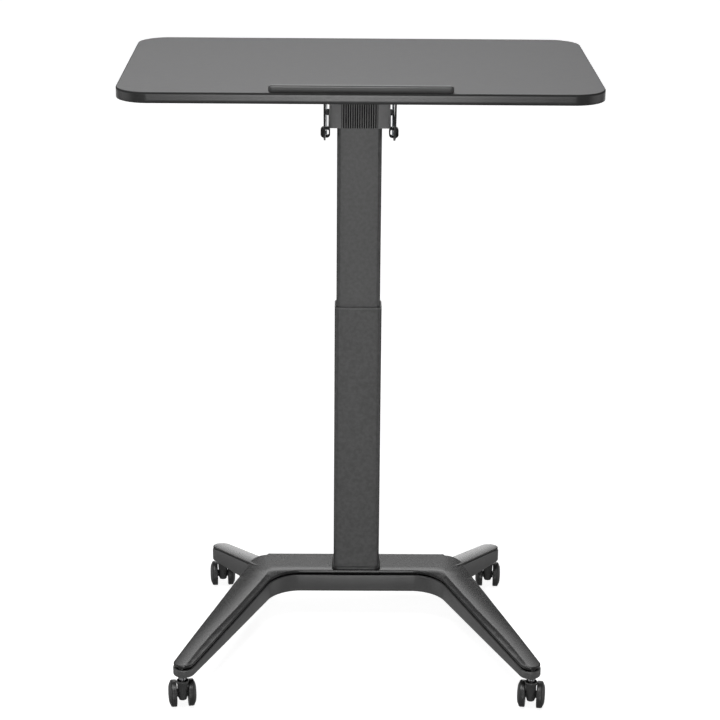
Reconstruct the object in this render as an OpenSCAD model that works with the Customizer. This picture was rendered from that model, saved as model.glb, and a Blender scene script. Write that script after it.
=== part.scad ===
// Rolling lectern podium: a tilting desktop on a gas-lift two-stage column,
// standing on a low four-legged base with four twin-wheel casters.
// Millimetres, +Z up, -Y towards the reader. The origin is on the floor, under
// the middle of the whole outline. Every module is drawn about the column's
// centre line and moved back by shift_y. Drawn fully raised, desktop level.

/* [Desktop] */
// height of the desktop's upper face when fully raised
desk_height = 1045; // [1000:1:1150]
// desktop width, left to right
desk_w = 800; // [600:5:1000]
// desktop depth, front to back
desk_d = 500; // [400:5:600]
// desktop thickness
desk_t = 18; // [12:0.5:30]
// radius of the desktop's plan corners
desk_r = 55; // [10:1:100]
// length of the stop bar at the front edge
stop_len = 300; // [150:5:600]
// height of the stop bar above the desktop
stop_h = 12; // [6:0.5:25]
// depth of the stop bar, front to back
stop_d = 14; // [8:0.5:25]

/* [Head and tilt] */
// width of the head box
head_w = 105; // [95:1:110]
// depth of the head box
head_d = 98; // [80:1:110]
// height of the head box
head_h = 43; // [35:1:46]
// width of the ribbed front panel
rib_w = 63; // [40:1:70]
// number of ribs on the front panel
rib_count = 16; // [8:1:20]
// outer radius of the tilt quadrants about the hinge
quad_r = 98; // [90:1:104]
// thickness of each tilt quadrant
quad_t = 3; // [2:0.5:4]

/* [Column] */
// outer column width
col_w = 84; // [78:1:96]
// outer column depth
col_d = 50; // [46:1:60]
// height of the outer column's top above the floor
col_top = 613; // [560:1:640]
// inner column width
in_w = 78; // [72:1:78]
// inner column depth
in_d = 44; // [40:1:44]
// travel of the lift, fully raised to fully lowered
lift = 320; // [200:5:330]

/* [Base] */
// height of the base's upper face above the floor
base_top = 104; // [95:1:115]
// sideways distance from the centre to a front caster stem
front_x = 298; // [250:1:330]
// forward distance from the centre to a front caster stem
front_y = 369; // [300:1:400]
// sideways distance from the centre to a rear caster stem
rear_x = 256; // [200:1:280]
// rearward distance from the centre to a rear caster stem
rear_y = 119; // [100:1:160]

/* [Casters] */
// wheel diameter
wheel_d = 47; // [44:0.5:50]
// width of each wheel
wheel_w = 14.4; // [12:0.2:16]
// distance from stem to axle, the caster trail
trail = 12; // [8:0.5:20]
// angle the front casters are turned in plan
yaw_f = 8.5; // [0:0.5:15]
// angle the rear casters are turned in plan
yaw_r = 5; // [0:0.5:15]

/* [Hidden] */
$fn = 64;
desk_bot = desk_height - desk_t;
// tilt hinge position
hy = 5;
hz = desk_height - 35;
head_z = desk_height - 102;
head_top = head_z + head_h;
frame_t = 2.5;
frame_z = desk_bot - frame_t;
plate_x = 59;
quad_in = quad_r - 16;
latch_y = -14;
latch_z = head_z - 23;
pivot_x = 55.3;
pivot_z = head_z + 21;
in_bot = 453;
axle_z = wheel_d / 2;
skirt_bot = 62;
foot_z = 96;
lev_x = 268;
lev_y = -100;
lev_z = desk_bot - 11;
cable_d = 4;
// the column stands this far behind the middle of the outline
shift_y = (front_y + 13.9 - desk_d / 2) / 2;

// ---------------------------------------------------------------- helpers
module centred() {
  translate([0, shift_y, 0]) children();
}

module rrect(w, d, r) {
  union() {
    square([w - 2 * r, d], center = true);
    square([w, d - 2 * r], center = true);
    translate([w / 2 - r, d / 2 - r]) circle(r);
    translate([r - w / 2, d / 2 - r]) circle(r);
    translate([w / 2 - r, r - d / 2]) circle(r);
    translate([r - w / 2, r - d / 2]) circle(r);
  }
}

module tube(w, d, r, wall, h) {
  linear_extrude(h)
    difference() {
      rrect(w, d, r);
      rrect(w - 2 * wall, d - 2 * wall, r - wall);
    }
}

// extrudes a profile drawn in Y and Z along X, centred
module along_x(len) {
  rotate([90, 0, 90]) translate([0, 0, -len / 2]) linear_extrude(len) children();
}

// a bar in plan between two circles of different radius
module bar(a, ra, b, rb) {
  d = sqrt((b[0] - a[0]) * (b[0] - a[0]) + (b[1] - a[1]) * (b[1] - a[1]));
  t = atan2(b[1] - a[1], b[0] - a[0]);
  s = acos((ra - rb) / d);
  u = t + s;
  v = t - s;
  polygon([a + ra * [cos(u), sin(u)], a + ra * [cos(v), sin(v)],
    b + rb * [cos(v), sin(v)], b + rb * [cos(u), sin(u)]]);
  translate(a) circle(ra);
  translate(b) circle(rb);
}

// half of the base in plan, drawn in by i on every side
module half_plan(i) {
  translate([-1, i - 31]) square([168, 77 - 2 * i]);
  bar([167, 7], 33.6 - i, [front_x - 2.5, 7.5 - front_y], 18.7 - i);
  bar([178, 12], 21.4 - i, [rear_x, rear_y - 7], 18.6 - i);
  difference() {
    polygon([[100.75, -97], [100.75, -12], [190, -12], [184, -64.3]]);
    translate([100.75, -97]) circle(66.15 + i);
  }
}

module base_plan(i) {
  half_plan(i);
  mirror([1, 0]) half_plan(i);
}

// side profile between two heights, dropping towards the leg tips
module base_band(lo, lo_tip, hi, hi_tip) {
  along_x(700)
    polygon([[-400, lo_tip], [-32, lo], [46, lo], [140, lo_tip], [140, hi_tip],
      [46, hi], [-32, hi], [-400, hi_tip]]);
}

module at_fl() {
  translate([-front_x, -front_y, 0]) rotate([0, 0, yaw_f]) children();
}

module at_fr() {
  translate([front_x, -front_y, 0]) rotate([0, 0, -yaw_f]) children();
}

module at_rl() {
  translate([-rear_x, rear_y, 0]) rotate([0, 0, yaw_r]) children();
}

module at_rr() {
  translate([rear_x, rear_y, 0]) rotate([0, 0, -yaw_r]) children();
}

// a quarter bend that leaves along Z and turns towards X
module elbow(r) {
  translate([r, 0, 0]) rotate([90, 0, 180])
    rotate_extrude(angle = 90) translate([r, 0]) circle(d = cable_d);
}

// a cable that starts along Z: each step is a straight length, then the side
// that it bends to and the radius of that quarter bend
module cable(steps, i) {
  r = steps[i][2];
  cylinder(d = cable_d, h = steps[i][0]);
  if (i < len(steps) - 1)
    translate([0, 0, steps[i][0]]) rotate([0, 0, steps[i][1]]) {
      elbow(r);
      translate([r, 0, r]) rotate([0, 90, 0]) cable(steps, i + 1);
    }
}

// the shallow seat that the stop bar stands in
module stop_seat() {
  translate([0, -desk_d / 2 + stop_d / 2, desk_height - 0.5])
    linear_extrude(3) rrect(stop_len + 0.3, stop_d + 0.3, stop_d / 2 - 0.35);
}

module screw_down(d, hd, hh, len) {
  cylinder(d = hd, h = hh);
  translate([0, 0, -len]) cylinder(d = d, h = len + 0.1);
}

// ---------------------------------------------------------------- desktop
module desktop_board() {
  color([0.16, 0.16, 0.16]) centred()
    difference() {
      translate([0, 0, desk_bot]) linear_extrude(desk_t)
        rrect(desk_w - 3, desk_d - 3, desk_r - 1.5);
      stop_seat();
    }
}

module edge_band() {
  color([0.1, 0.1, 0.1]) centred()
    difference() {
      translate([0, 0, desk_bot]) tube(desk_w, desk_d, desk_r, 1.5, desk_t);
      stop_seat();
    }
}

module stop_bar() {
  color([0.2, 0.2, 0.2]) centred()
    translate([0, -desk_d / 2 + stop_d / 2, desk_height])
      difference() {
        union() {
          translate([0, 0, -0.5])
            linear_extrude(stop_h - 2.5) rrect(stop_len, stop_d, stop_d / 2 - 0.5);
          translate([0, 0, stop_h - 3])
            linear_extrude(3) rrect(stop_len - 3, stop_d - 3, stop_d / 2 - 2);
        }
        translate([-110, 0, -1]) cylinder(d = 3.4, h = 8);
        translate([110, 0, -1]) cylinder(d = 3.4, h = 8);
      }
}

// ------------------------------------------------------------ tilt frame
module tilt_frame() {
  color([0.12, 0.12, 0.12]) centred()
    difference() {
      union() {
        translate([-75, -95, frame_z]) cube([150, 200, frame_t]);
        translate([-49, hy - 10, hz]) cube([4, 20, frame_z - hz + 1]);
        translate([45, hy - 10, hz]) cube([4, 20, frame_z - hz + 1]);
        translate([-49, hy, hz]) rotate([0, 90, 0]) cylinder(r = 10, h = 4);
        translate([45, hy, hz]) rotate([0, 90, 0]) cylinder(r = 10, h = 4);
      }
      translate([-60, hy, hz]) rotate([0, 90, 0]) cylinder(d = 10.12, h = 120);
      for (x = [-68.3, 68.3], y = [-80, 90])
        translate([x, y, frame_z - 1]) cylinder(d = 5, h = 6);
      translate([-30, -60, frame_z - 1]) cube([60, 30, 6]);
    }
}

// a D-shaped quadrant: an arc about the hinge closed by two arms and a top bar
module quadrant_profile() {
  difference() {
    union() {
      intersection() {
        translate([hy, hz]) circle(quad_r, $fn = 128);
        translate([hy - quad_r, hz - quad_r]) square([2 * quad_r, quad_r]);
      }
      translate([hy - quad_r, hz]) square([2 * quad_r, frame_z - hz]);
    }
    difference() {
      translate([hy, hz]) circle(quad_in, $fn = 128);
      translate([hy - quad_r, hz + 2]) square([2 * quad_r, 60]);
    }
    for (y = [-84, 94]) translate([y, frame_z - 6]) circle(d = 4);
  }
}

module quadrant(s) {
  translate([s * (plate_x + quad_t / 2), 0, 0]) along_x(quad_t) quadrant_profile();
  translate([s * (plate_x + quad_t / 2 + 3.5), 0, frame_z - 1.5])
    translate([-3.5, hy - 80, -1]) cube([7, 160, 2.5]);
}

module quadrant_left() {
  color([0.08, 0.08, 0.08]) centred() quadrant(-1);
}

module quadrant_right() {
  color([0.08, 0.08, 0.08]) centred() quadrant(1);
}

// --------------------------------------------------- height release lever
module lever_bracket() {
  color([0.12, 0.12, 0.12]) centred()
    difference() {
      union() {
        translate([lev_x - 22, lev_y - 14, desk_bot - 2]) cube([44, 28, 2]);
        translate([lev_x - 14, lev_y - 14, desk_bot - 16]) cube([28, 2, 15]);
        translate([lev_x - 14, lev_y + 12, desk_bot - 16]) cube([28, 2, 15]);
      }
      translate([lev_x, lev_y, lev_z]) rotate([90, 0, 0])
        cylinder(d = 5, h = 40, center = true);
      for (x = [-18, 18])
        translate([lev_x + x, lev_y, desk_bot - 3]) cylinder(d = 4, h = 4);
    }
}

module lever_pin() {
  color([0.6, 0.6, 0.6]) centred()
    translate([lev_x, lev_y, lev_z]) rotate([90, 0, 0])
      cylinder(d = 5, h = 30, center = true);
}

// the screws and rivets that ride with the desktop
module top_fasteners() {
  color([0.6, 0.6, 0.6]) centred()
    union() {
      for (x = [-110, 110])
        translate([x, -desk_d / 2 + stop_d / 2, desk_height]) cylinder(d = 3.4, h = 6.9);
      for (x = [-68.3, 68.3], y = [-80, 90])
        translate([x, y, frame_z - 2.2]) {
          cylinder(d = 9, h = 2.2);
          cylinder(d = 5, h = frame_t + 2.2);
        }
      for (s = [-1, 1], y = [-84, 94])
        translate([s * (plate_x + quad_t / 2), y, frame_z - 6])
          rotate([0, 90, 0]) cylinder(d = 4, h = quad_t + 2, center = true);
      for (x = [-18, 18])
        translate([lev_x + x, lev_y, desk_bot - 3.6]) {
          cylinder(d = 7, h = 1.6);
          cylinder(d = 4, h = 3.6);
        }
    }
}

module release_lever() {
  color([0.08, 0.08, 0.08]) centred()
    difference() {
      union() {
        translate([lev_x, lev_y, lev_z]) rotate([90, 0, 0])
          cylinder(d = 10, h = 22, center = true);
        translate([lev_x, lev_y - 11, lev_z - 5]) cube([40, 22, 4]);
        translate([lev_x + 70, lev_y, lev_z - 5])
          linear_extrude(4) rrect(76, 34, 12);
        translate([lev_x - 12, lev_y - 4, lev_z - 5]) cube([12, 8, 4]);
      }
      translate([lev_x, lev_y, lev_z]) rotate([90, 0, 0])
        cylinder(d = 5.12, h = 40, center = true);
    }
}

module cable_under_top() {
  color([0.05, 0.05, 0.05]) centred()
    translate([66, 26, head_z + 59]) rotate([0, 90, 0])
      cable([[4, 180, 9], [desk_bot - head_z - 79.6, 90, 9], [62, 90, 9],
        [130, 180, 9], [28, 180, 9], [1, -90, 5], [0.4, 180, 5], [6, 0, 0]], 0);
}

module cable_clips() {
  color([0.2, 0.2, 0.2]) centred()
    difference() {
      for (x = [130, 176])
        translate([x - 4, -60, desk_bot - 6]) cube([8, 12, 6]);
      translate([150, -54, desk_bot - 2.6]) rotate([0, 90, 0])
        cylinder(d = 4, h = 90, center = true);
    }
}

module cable_in_head() {
  color([0.05, 0.05, 0.05]) centred()
    translate([36, hy, head_z + 37])
      cable([[13, 90, 9], [3, -90, 9], [12, 0, 0]], 0);
}

// ------------------------------------------------------------------ head
module head_shell() {
  color([0.15, 0.15, 0.15]) centred()
    difference() {
      translate([0, 0, head_z]) linear_extrude(head_h) rrect(head_w, head_d, 4);
      translate([0, 0, head_z + 3])
        linear_extrude(head_h) rrect(head_w - 5, head_d - 5, 1.5);
      translate([0, 0, head_z - 1]) linear_extrude(6) rrect(in_w, in_d, 7);
      translate([-rib_w / 2, -head_d / 2 - 1, head_z - 1]) cube([rib_w, 2.5, head_h + 2]);
      for (s = [-1, 1], y = [-35, 35])
        translate([s * head_w / 2, y, head_z + 27]) rotate([0, 90, 0])
          cylinder(d = 4, h = 10, center = true);
    }
}

module rib_panel() {
  color([0.1, 0.1, 0.1]) centred()
    union() {
      translate([-rib_w / 2, 1.5 - 0.6 - head_d / 2, head_z]) cube([rib_w, 0.6, head_h]);
      for (i = [0:rib_count - 1])
        translate([-rib_w / 2 + (i + 0.25) * rib_w / rib_count, -head_d / 2, head_z])
          cube([rib_w / rib_count / 2, 1, head_h]);
    }
}

module head_side_screws() {
  color([0.1, 0.1, 0.1]) centred()
    for (s = [-1, 1], y = [-35, 35])
      translate([s * head_w / 2, y, head_z + 27]) rotate([0, s * 90, 0])
        screw_down(4, 7, 2, 2.5);
}

module head_plate() {
  color([0.3, 0.3, 0.3]) centred()
    difference() {
      translate([0, 0, head_z + 3]) linear_extrude(5) rrect(98, 90, 3);
      translate([0, 0, head_z]) cylinder(d = 10, h = 12);
      for (x = [-34, 34], y = [-32, 32])
        translate([x, y, head_z]) cylinder(d = 6, h = 12);
    }
}

module tilt_yoke() {
  color([0.14, 0.14, 0.14]) centred()
    difference() {
      union() {
        translate([-44, -40, head_z + 8]) cube([88, 80, 4]);
        for (s = [-1, 1]) {
          translate([s * 42, 0, 0])
            along_x(4)
              polygon([[-30, head_z + 9], [40, head_z + 9], [hy + 9, hz], [hy - 9, hz]]);
          translate([s * 42, hy, hz]) rotate([0, 90, 0])
            cylinder(r = 9.2, h = 4, center = true);
        }
        translate([14, -5, head_z + 11]) cube([12, 2, 27]);
        translate([14, 13, head_z + 11]) cube([12, 2, 27]);
      }
      translate([-60, hy, hz]) rotate([0, 90, 0]) cylinder(d = 10, h = 120);
      translate([0, 0, head_z]) cylinder(d = 10, h = 20);
      for (x = [-34, 34], y = [-32, 32])
        translate([x, y, head_z]) cylinder(d = 6, h = 20);
      translate([20, hy, head_z + 32]) rotate([90, 0, 0])
        cylinder(d = 4, h = 40, center = true);
    }
}

// yoke bolts, the nut on the gas spring's rod and the rocker's pin
module head_fasteners() {
  color([0.6, 0.6, 0.6]) centred()
    union() {
      for (x = [-34, 34], y = [-32, 32])
        translate([x, y, head_z + 12]) {
          cylinder(d = 11.5, h = 4, $fn = 6);
          translate([0, 0, -9]) cylinder(d = 6, h = 9.1);
        }
      translate([0, 0, head_z + 12])
        difference() {
          cylinder(d = 17, h = 6, $fn = 6);
          translate([0, 0, -1]) cylinder(d = 10, h = 8);
        }
      translate([20, hy, head_z + 32]) rotate([90, 0, 0])
        cylinder(d = 4, h = 20, center = true);
    }
}

module hinge_pin() {
  color([0.7, 0.7, 0.7]) centred()
    union() {
      translate([-50, hy, hz]) rotate([0, 90, 0]) cylinder(d = 10, h = 100);
      translate([-52.5, hy, hz]) rotate([0, 90, 0]) cylinder(d = 14, h = 2.5);
      translate([50, hy, hz]) rotate([0, 90, 0]) cylinder(d = 14, h = 2.5);
    }
}

module rest_block() {
  color([0.05, 0.05, 0.05]) centred()
    translate([-26, 28, head_z + 12]) cube([52, 10, frame_z - 0.3 - head_z - 12]);
}

// a block on the head's side that straddles the quadrant's arc
module latch_housing(s) {
  mirror([s < 0 ? 1 : 0, 0, 0])
    difference() {
      union() {
        translate([59.25, latch_y, latch_z]) linear_extrude(18) rrect(16.5, 14, 2.5);
        translate([head_w / 2, latch_y - 7, latch_z + 17]) cube([1.5, 14, 31]);
        for (y = [-8.4, 5.4])
          translate([head_w / 2, latch_y + y, pivot_z - 4]) cube([5.8, 3, 8]);
      }
      translate([plate_x + quad_t / 2, 0, 0])
        along_x(quad_t + 1) translate([hy, hz])
          difference() {
            circle(quad_r + 4, $fn = 128);
            circle(quad_in - 0.6, $fn = 128);
          }
      translate([53.2, latch_y - 10, latch_z + 3.5]) cube([5.7, 20, 9.5]);
      translate([53.2, latch_y - 4.6, latch_z + 8]) cube([5.7, 9.2, 12]);
      translate([pivot_x, latch_y, pivot_z]) rotate([90, 0, 0])
        cylinder(d = 3, h = 30, center = true);
      translate([pivot_x, latch_y, pivot_z]) rotate([90, 0, 0])
        cylinder(d = 6.4, h = 10.6, center = true);
    }
}

module latch_housing_left() {
  color([0.05, 0.05, 0.05]) centred() latch_housing(-1);
}

module latch_housing_right() {
  color([0.05, 0.05, 0.05]) centred() latch_housing(1);
}

module latch_pins() {
  color([0.6, 0.6, 0.6]) centred()
    for (s = [-1, 1])
      translate([s * pivot_x, latch_y, pivot_z]) rotate([90, 0, 0])
        cylinder(d = 3, h = 16.4, center = true);
}

module brake_lever(s) {
  mirror([s < 0 ? 1 : 0, 0, 0])
    difference() {
      union() {
        translate([pivot_x, latch_y, pivot_z]) rotate([90, 0, 0])
          cylinder(d = 4.6, h = 8, center = true);
        translate([pivot_x + 0.8, latch_y - 4, latch_z + 4.5]) cube([1.6, 8, 59.5]);
        translate([pivot_x + 2.2, latch_y - 4, latch_z + 4.5]) cube([1.3, 8, 5.5]);
      }
      translate([pivot_x, latch_y, pivot_z]) rotate([90, 0, 0])
        cylinder(d = 3.12, h = 30, center = true);
    }
}

module brake_lever_left() {
  color([0.6, 0.62, 0.66]) centred() brake_lever(-1);
}

module brake_lever_right() {
  color([0.6, 0.62, 0.66]) centred() brake_lever(1);
}

// --------------------------------------------------------- gas spring end
module release_rocker() {
  color([0.5, 0.5, 0.5]) centred()
    difference() {
      union() {
        translate([20, hy, head_z + 32]) rotate([90, 0, 0])
          cylinder(d = 9, h = 15, center = true);
        translate([-4, hy - 7.5, head_z + 29]) cube([42, 15, 3]);
        translate([-3, hy - 7.5, head_z + 25.2]) cube([6, 5.5, 5]);
      }
      translate([20, hy, head_z + 32]) rotate([90, 0, 0])
        cylinder(d = 4.12, h = 40, center = true);
    }
}

module release_pin() {
  color([0.7, 0.7, 0.7]) centred()
    translate([0, 0, head_z + 10]) cylinder(d = 3, h = 15);
}

module gas_rod() {
  color([0.75, 0.75, 0.75]) centred()
    difference() {
      translate([0, 0, 492]) cylinder(d = 10, h = head_z + 20 - 492);
      translate([0, 0, head_z + 5]) cylinder(d = 3.12, h = 20);
    }
}

module gas_piston() {
  color([0.2, 0.2, 0.2]) centred()
    translate([0, 0, 480]) cylinder(d = 24.9, h = 12);
}

// ---------------------------------------------------------------- column
module inner_column() {
  color([0.14, 0.14, 0.14]) centred()
    translate([0, 0, in_bot]) tube(in_w, in_d, 7, 1.8, head_z + 3 - in_bot);
}

module glide_shoe() {
  color([0.85, 0.85, 0.8]) centred()
    difference() {
      translate([0, 0, in_bot - 4]) linear_extrude(34)
        rrect(col_w - 4.2, col_d - 4.2, 6);
      translate([0, 0, in_bot]) linear_extrude(40) rrect(in_w, in_d, 7);
      translate([0, 0, in_bot - 5]) linear_extrude(10)
        rrect(in_w - 3.6, in_d - 3.6, 5.2);
    }
}

module outer_column() {
  color([0.14, 0.14, 0.14]) centred()
    translate([0, 0, foot_z]) tube(col_w, col_d, 8, 1.8, col_top - 4 - foot_z);
}

module top_collar() {
  color([0.2, 0.2, 0.2]) centred()
    difference() {
      union() {
        translate([0, 0, col_top - 4]) linear_extrude(4) rrect(col_w, col_d, 8);
        translate([0, 0, col_top - 44])
          linear_extrude(41) rrect(col_w - 3.6, col_d - 3.6, 6.2);
      }
      translate([0, 0, col_top - 50])
        linear_extrude(60) rrect(in_w + 0.6, in_d + 0.6, 7.3);
    }
}

module gas_cylinder() {
  color([0.1, 0.1, 0.1]) centred()
    difference() {
      union() {
        translate([0, 0, foot_z]) cylinder(d = 28, h = 404);
        translate([0, 0, foot_z - 14]) cylinder(d = 8, h = 15);
      }
      translate([0, 0, foot_z + 8]) cylinder(d = 25, h = 400);
    }
}

module cylinder_gland() {
  color([0.6, 0.6, 0.6]) centred()
    translate([0, 0, foot_z + 397])
      difference() {
        cylinder(d = 25, h = 7);
        translate([0, 0, -1]) cylinder(d = 10.12, h = 12);
      }
}

module foot_plate() {
  color([0.3, 0.3, 0.3]) centred()
    difference() {
      translate([0, 6, foot_z - 6]) linear_extrude(6) rrect(124, 58, 6);
      translate([0, 0, foot_z - 8]) cylinder(d = 8, h = 10);
      for (x = [-52, 52], y = [-14, 26])
        translate([x, y, foot_z - 8]) cylinder(d = 8, h = 10);
    }
}

module foot_bolts() {
  color([0.6, 0.6, 0.6]) centred()
    union() {
      for (x = [-52, 52], y = [-14, 26])
        translate([x, y, foot_z]) {
          cylinder(d = 13, h = 4, $fn = 6);
          translate([0, 0, -14]) cylinder(d = 8, h = 14.1);
        }
      translate([0, 0, foot_z - 10])
        difference() {
          cylinder(d = 15, h = 4, $fn = 6);
          translate([0, 0, -1]) cylinder(d = 8, h = 6);
        }
    }
}

module foot_band() {
  color([0.04, 0.04, 0.04]) centred()
    translate([0, 0, base_top]) tube(col_w + 4, col_d + 4, 10, 2, 5);
}

// ------------------------------------------------------------------ base
// the space under the cover in one pair of legs, in plan
module leg_hollow() {
  polygon([[140, 10], [158, -60], [272, -330], [292, -324], [200, -30], [246, 76],
    [231, 92], [170, 24]]);
}

// facets that fall away from the ridge along each front leg
module ridge_cut(s) {
  a = [164, -32];
  b = [286, -372];
  t = atan2(b[0] - a[0], a[1] - b[1]);
  mirror([s < 0 ? 1 : 0, 0, 0])
    translate([a[0], a[1], base_top + 0.45])
      rotate([0, 0, t])
        rotate([2.93, 0, 0]) {
          rotate([0, 8, 0]) translate([0, -420, 0]) cube([90, 480, 40]);
          rotate([0, -22, 0]) translate([-60, -420, 0]) cube([60, 388, 40]);
        }
}

module base_cover() {
  color([0.13, 0.13, 0.13]) centred()
    difference() {
      union() {
        intersection() {
          translate([0, 0, 60]) linear_extrude(60) base_plan(1);
          base_band(base_top - 6, 79, base_top, 84);
        }
        intersection() {
          translate([0, 0, 60]) linear_extrude(60) base_plan(4.2);
          base_band(base_top - 10, 75, base_top - 2, 82);
        }
      }
      intersection() {
        translate([0, 0, 60])
          linear_extrude(60) {
            leg_hollow();
            mirror([1, 0]) leg_hollow();
          }
        base_band(base_top - 30, 60, base_top - 9, 75.5);
      }
      translate([-150, -23.5, base_top - 22]) cube([300, 62, 19.5]);
      translate([0, 0, base_top - 20]) linear_extrude(30) rrect(col_w, col_d, 8);
      ridge_cut(1);
      ridge_cut(-1);
      for (s = [-1, 1]) {
        translate([s * front_x, -front_y, 60]) cylinder(r = 8.6, h = 19.6);
        translate([s * rear_x, rear_y, 60]) cylinder(r = 8.6, h = 19.6);
      }
    }
}

module base_frame() {
  color([0.13, 0.13, 0.13]) centred()
    difference() {
      union() {
        intersection() {
          translate([0, 0, skirt_bot])
            linear_extrude(50)
              difference() {
                base_plan(0);
                base_plan(4);
              }
          base_band(50, 50, base_top - 8, 78);
        }
        intersection() {
          translate([0, 0, skirt_bot]) linear_extrude(16) base_plan(2);
          union() {
            translate([-62, -40, skirt_bot]) cube([4, 100, 16]);
            translate([58, -40, skirt_bot]) cube([4, 100, 16]);
            translate([-170, 4, skirt_bot]) cube([340, 4, 14]);
            for (s = [-1, 1]) {
              translate([s * front_x, -front_y, skirt_bot]) cylinder(r = 14, h = 12);
              translate([s * rear_x, rear_y, skirt_bot]) cylinder(r = 14, h = 12);
            }
          }
        }
        translate([-62, -28, foot_z - 12]) cube([124, 71, 6]);
        translate([-62, -28, skirt_bot + 15]) cube([4, 71, 10]);
        translate([58, -28, skirt_bot + 15]) cube([4, 71, 10]);
      }
      for (s = [-1, 1]) {
        translate([s * front_x, -front_y, 50]) cylinder(d = 14, h = 60);
        translate([s * rear_x, rear_y, 50]) cylinder(d = 14, h = 60);
      }
      for (x = [-52, 52], y = [-14, 26])
        translate([x, y, foot_z - 14]) cylinder(d = 8, h = 12);
      translate([0, 0, foot_z - 14]) cylinder(d = 18, h = 12);
    }
}

module stem_socket() {
  difference() {
    union() {
      cylinder(d = 14, h = 17.5);
      translate([0, 0, -1.5]) cylinder(d = 17, h = 1.5);
    }
    translate([0, 0, -3]) cylinder(d = 8.12, h = 19.4);
  }
}

module stem_sockets() {
  color([0.05, 0.05, 0.05]) centred()
    for (s = [-1, 1]) {
      translate([s * front_x, -front_y, skirt_bot]) stem_socket();
      translate([s * rear_x, rear_y, skirt_bot]) stem_socket();
    }
}

// --------------------------------------------------------------- casters
module caster() {
  difference() {
    union() {
      translate([0, 0, 18]) cylinder(r1 = 8.3, r2 = 9.4, h = 36);
      along_x(16.6)
        polygon([[0, 18], [trail + 7, 18], [trail + 10, 26], [trail + 6, 40], [0, 50]]);
      translate([0, trail, axle_z]) rotate([0, 90, 0])
        cylinder(d = 6, h = 38, center = true);
      translate([0, trail, axle_z]) rotate([0, 90, 0])
        cylinder(d = 13, h = 18.8, center = true);
    }
    translate([0, 0, 34]) cylinder(d = 8, h = 30);
  }
}

// a socketed stem pressed into the caster's body
module caster_stem() {
  translate([0, 0, 54]) cylinder(d = 11, h = 6);
  translate([0, 0, 34]) cylinder(d = 8, h = 44);
}

module wheel(s) {
  r = wheel_d / 2;
  w = wheel_w;
  translate([0, trail, axle_z]) mirror([s < 0 ? 1 : 0, 0, 0])
    rotate([0, 90, 0]) translate([0, 0, 9.6])
      rotate_extrude($fn = 96)
        polygon([[3.06, 0], [r - 7, 0], [r - 5.5, 1], [r - 2.2, 1], [r - 0.4, 0.4],
          [r, 1.4], [r, w * 0.52], [r - 0.8, w * 0.62], [r - 2.6, w * 0.76],
          [r - 6, w * 0.9], [r - 11, w * 0.97], [0, w], [0, w - 3.9], [3.06, w - 3.9]]);
}

module caster_fl() {
  color([0.1, 0.1, 0.1]) centred() at_fl() caster();
}

module caster_fr() {
  color([0.1, 0.1, 0.1]) centred() at_fr() caster();
}

module caster_rl() {
  color([0.1, 0.1, 0.1]) centred() at_rl() caster();
}

module caster_rr() {
  color([0.1, 0.1, 0.1]) centred() at_rr() caster();
}

module stem_fl() {
  color([0.75, 0.75, 0.75]) centred() at_fl() caster_stem();
}

module stem_fr() {
  color([0.75, 0.75, 0.75]) centred() at_fr() caster_stem();
}

module stem_rl() {
  color([0.75, 0.75, 0.75]) centred() at_rl() caster_stem();
}

module stem_rr() {
  color([0.75, 0.75, 0.75]) centred() at_rr() caster_stem();
}

module wheel_fl_left() {
  color([0.06, 0.06, 0.06]) centred() at_fl() wheel(-1);
}

module wheel_fl_right() {
  color([0.06, 0.06, 0.06]) centred() at_fl() wheel(1);
}

module wheel_fr_left() {
  color([0.06, 0.06, 0.06]) centred() at_fr() wheel(-1);
}

module wheel_fr_right() {
  color([0.06, 0.06, 0.06]) centred() at_fr() wheel(1);
}

module wheel_rl_left() {
  color([0.06, 0.06, 0.06]) centred() at_rl() wheel(-1);
}

module wheel_rl_right() {
  color([0.06, 0.06, 0.06]) centred() at_rl() wheel(1);
}

module wheel_rr_left() {
  color([0.06, 0.06, 0.06]) centred() at_rr() wheel(-1);
}

module wheel_rr_right() {
  color([0.06, 0.06, 0.06]) centred() at_rr() wheel(1);
}

desktop_board();
edge_band();
stop_bar();
tilt_frame();
quadrant_left();
quadrant_right();
lever_bracket();
lever_pin();
top_fasteners();
release_lever();
cable_under_top();
cable_clips();
cable_in_head();
head_shell();
rib_panel();
head_side_screws();
head_plate();
tilt_yoke();
head_fasteners();
hinge_pin();
rest_block();
latch_housing_left();
latch_housing_right();
latch_pins();
brake_lever_left();
brake_lever_right();
release_rocker();
release_pin();
gas_rod();
gas_piston();
inner_column();
glide_shoe();
outer_column();
top_collar();
gas_cylinder();
cylinder_gland();
foot_plate();
foot_bolts();
foot_band();
base_cover();
base_frame();
stem_sockets();
caster_fl();
caster_fr();
caster_rl();
caster_rr();
stem_fl();
stem_fr();
stem_rl();
stem_rr();
wheel_fl_left();
wheel_fl_right();
wheel_fr_left();
wheel_fr_right();
wheel_rl_left();
wheel_rl_right();
wheel_rr_left();
wheel_rr_right();
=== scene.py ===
import math

import bmesh
import bpy
import numpy as np
from mathutils import Matrix, Vector
from mathutils.geometry import delaunay_2d_cdt


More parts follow.
